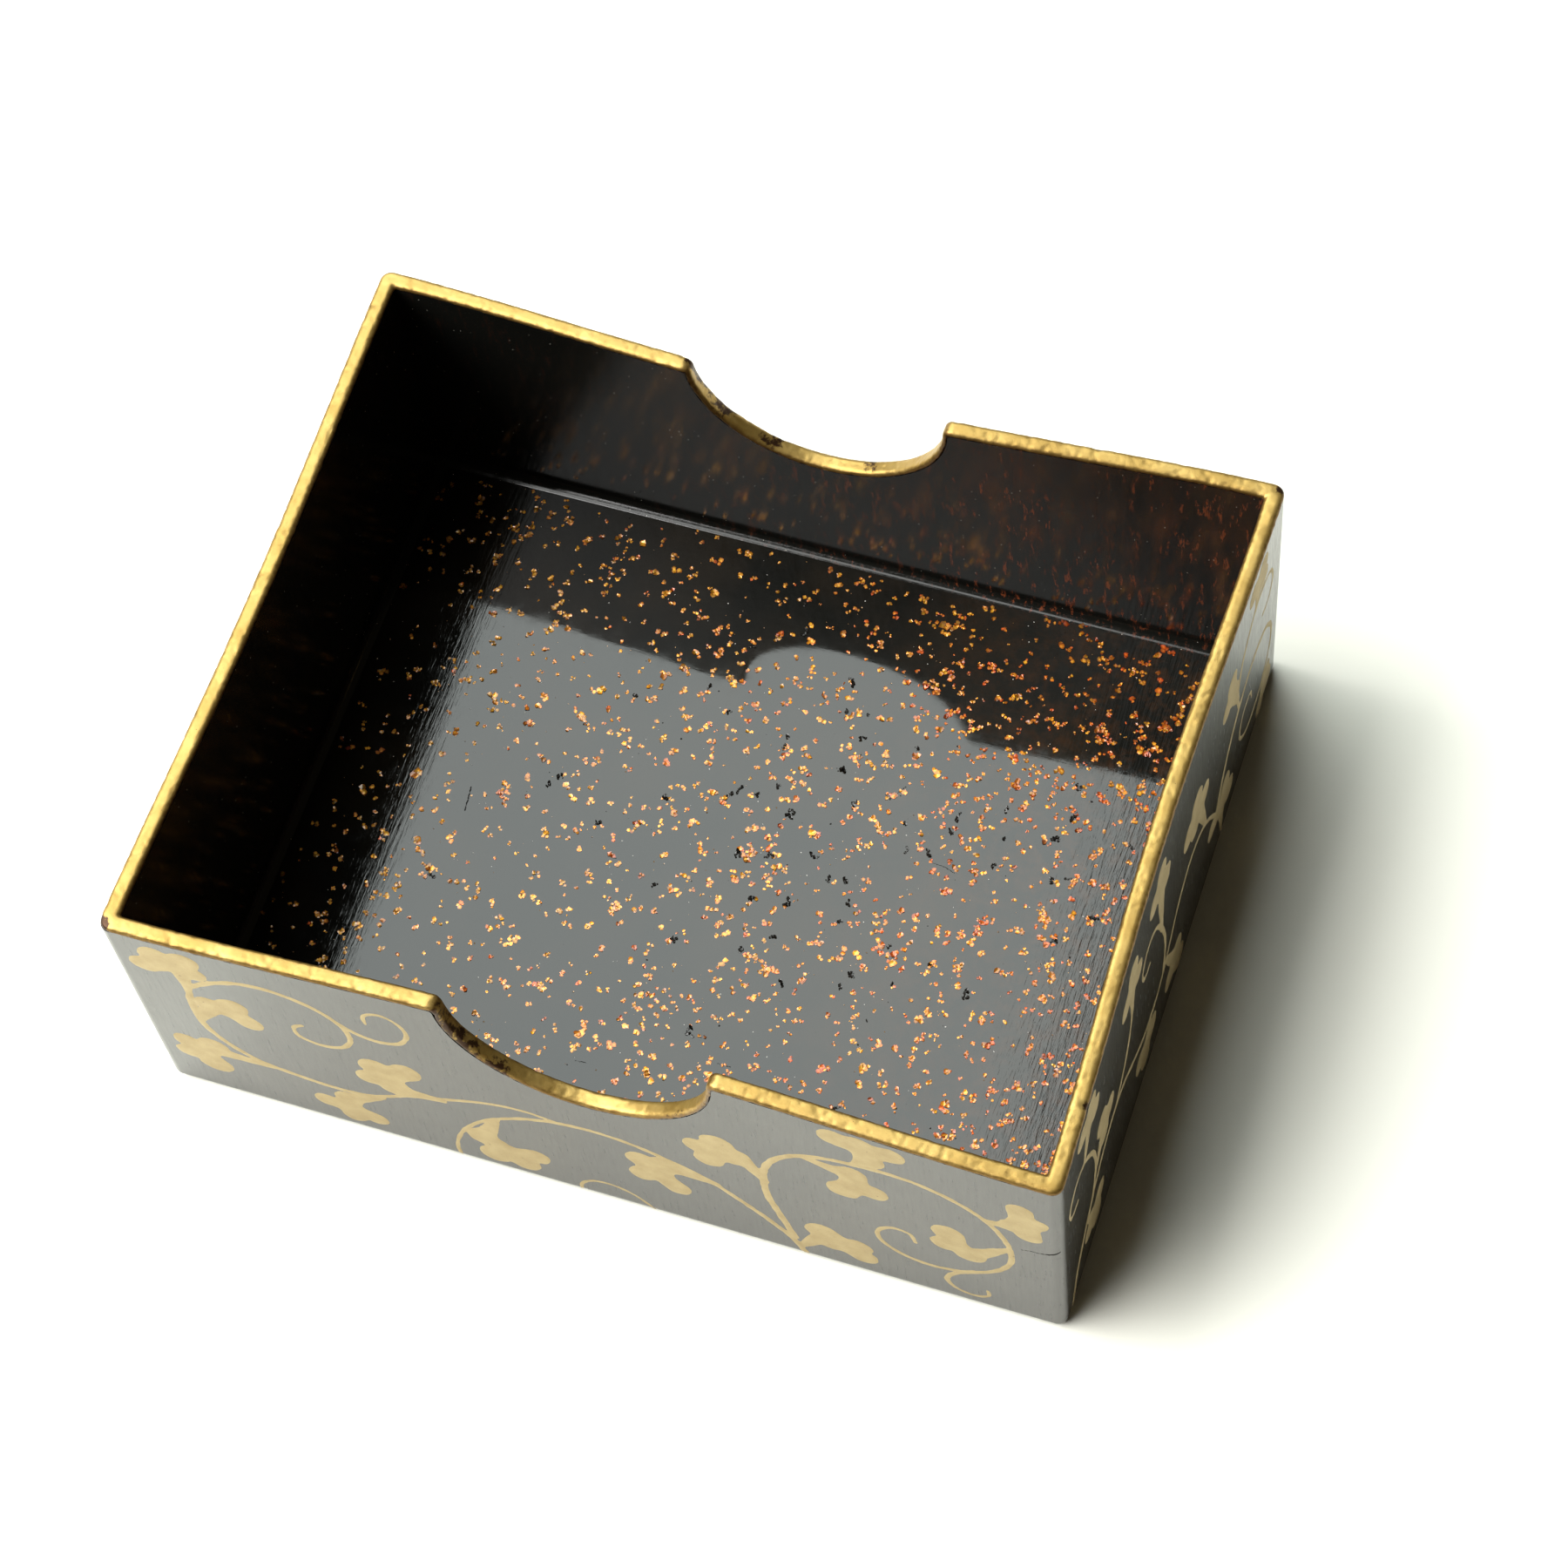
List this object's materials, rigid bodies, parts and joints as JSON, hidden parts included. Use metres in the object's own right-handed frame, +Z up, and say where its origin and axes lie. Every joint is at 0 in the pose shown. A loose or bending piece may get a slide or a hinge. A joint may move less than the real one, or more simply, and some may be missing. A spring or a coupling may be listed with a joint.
{
  "type": "open lacquer box",
  "caption": "Small rectangular open-topped lacquer box with gold rim, gold-flecked floor, vine scroll outside and a half-round finger notch in each long wall.",
  "frame": {"origin": "middle of the underside, on the table", "axes": "+X along the long side, +Y from the front wall to the back wall, +Z up out of the open top"},
  "size_m": [0.088, 0.0714, 0.0333],
  "materials": {
    "outer_lacquer": "satin",
    "core_wood": "matte",
    "hemp_cloth": "matte",
    "inner_lacquer": "gloss",
    "gold_fleck_lacquer": "gloss",
    "gold_rim": "satin"
  },
  "bodies": {
    "root": {"base_lacquer": "outer_lacquer", "board_back": "core_wood", "board_front": "core_wood", "board_left": "core_wood", "board_right": "core_wood", "bottom_board": "core_wood", "corner_cloth_back_left": "hemp_cloth", "corner_cloth_back_right": "hemp_cloth", "corner_cloth_front_left": "hemp_cloth", "corner_cloth_front_right": "hemp_cloth", "floor_bead_back": "inner_lacquer", "floor_bead_front": "inner_lacquer", "floor_bead_left": "inner_lacquer", "floor_bead_right": "inner_lacquer", "floor_lacquer": "gold_fleck_lacquer", "gold_rim": "gold_rim", "inner_lacquer": "inner_lacquer", "outer_lacquer": "outer_lacquer"}
  },
  "joints": []
}
